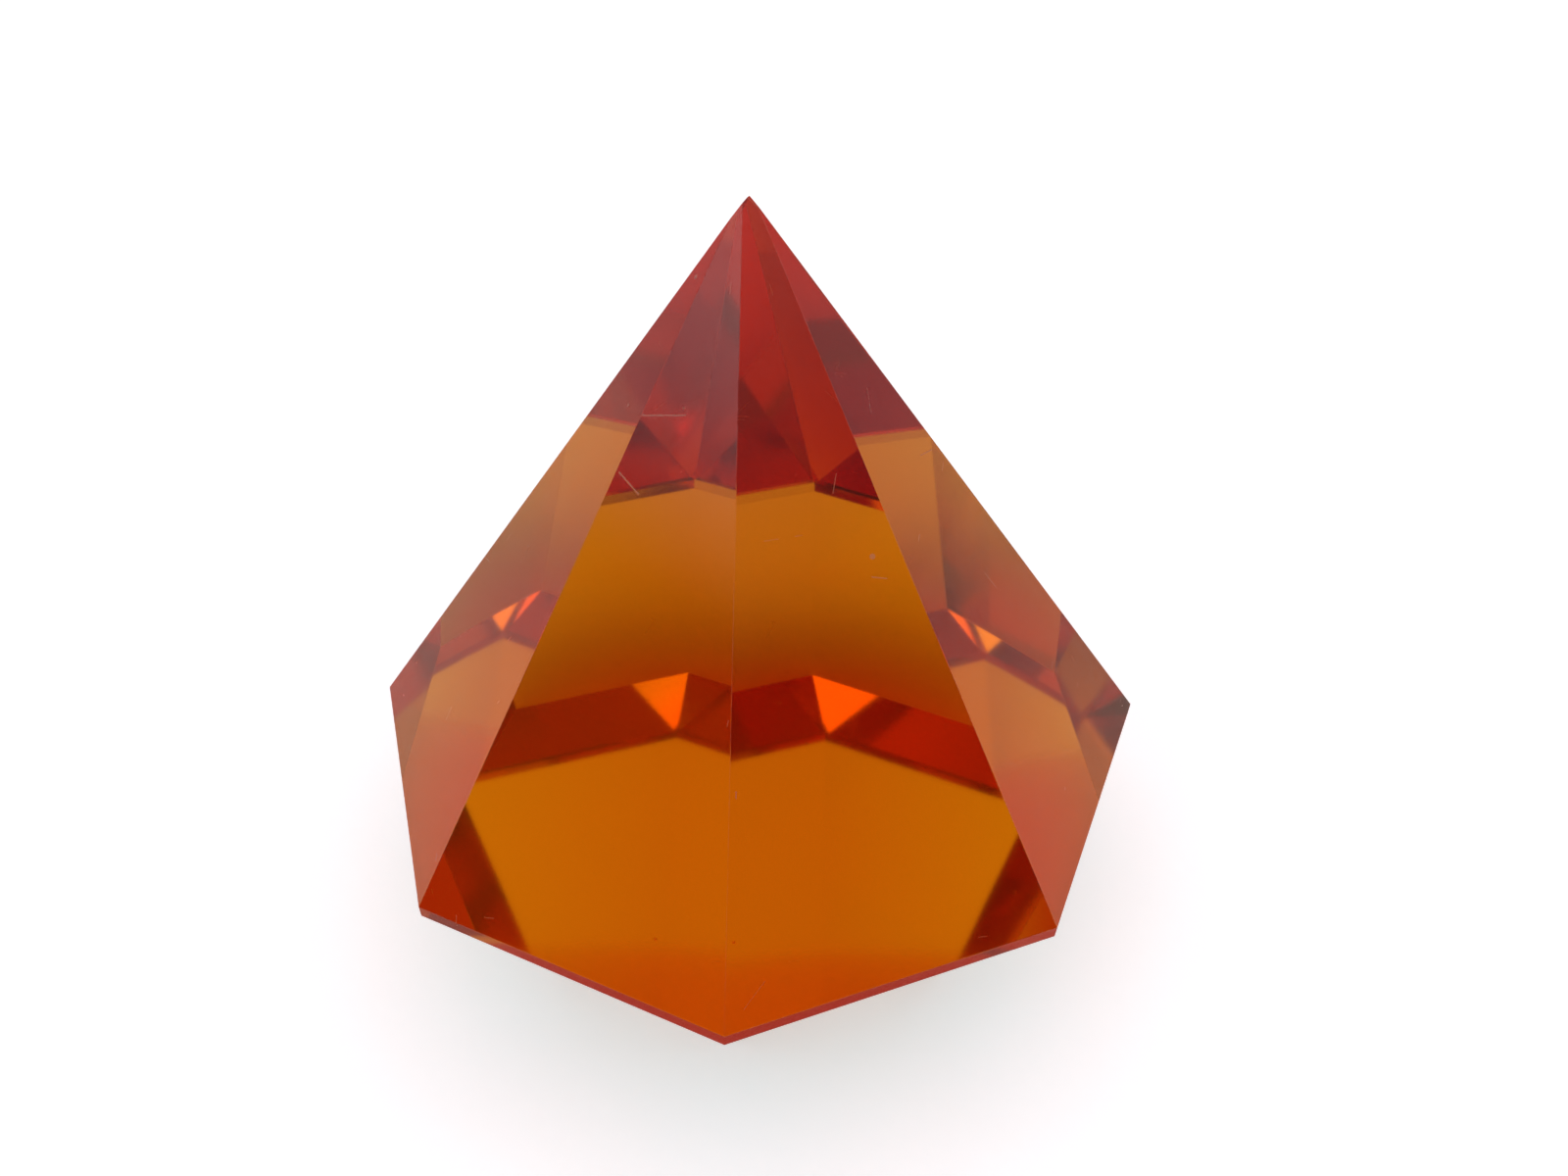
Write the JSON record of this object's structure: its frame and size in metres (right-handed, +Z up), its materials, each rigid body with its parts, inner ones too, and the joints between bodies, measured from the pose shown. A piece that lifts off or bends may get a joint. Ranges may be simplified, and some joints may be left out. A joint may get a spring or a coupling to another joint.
{
  "type": "cut glass paperweight",
  "caption": "Octagonal amber cut-glass crystal: a tall pointed faceted top over a short tapered foot, standing on its small flat base.",
  "frame": {"origin": "centre of the flat base that it stands on", "axes": "+Z up through the tip, a corner of the octagon towards -Y and another towards +X"},
  "size_m": [0.08, 0.08, 0.0746],
  "materials": {
    "amber_glass": "polished clear amber, deeper red through a long path"
  },
  "bodies": {
    "root": {"crystal": "amber_glass"}
  },
  "joints": []
}
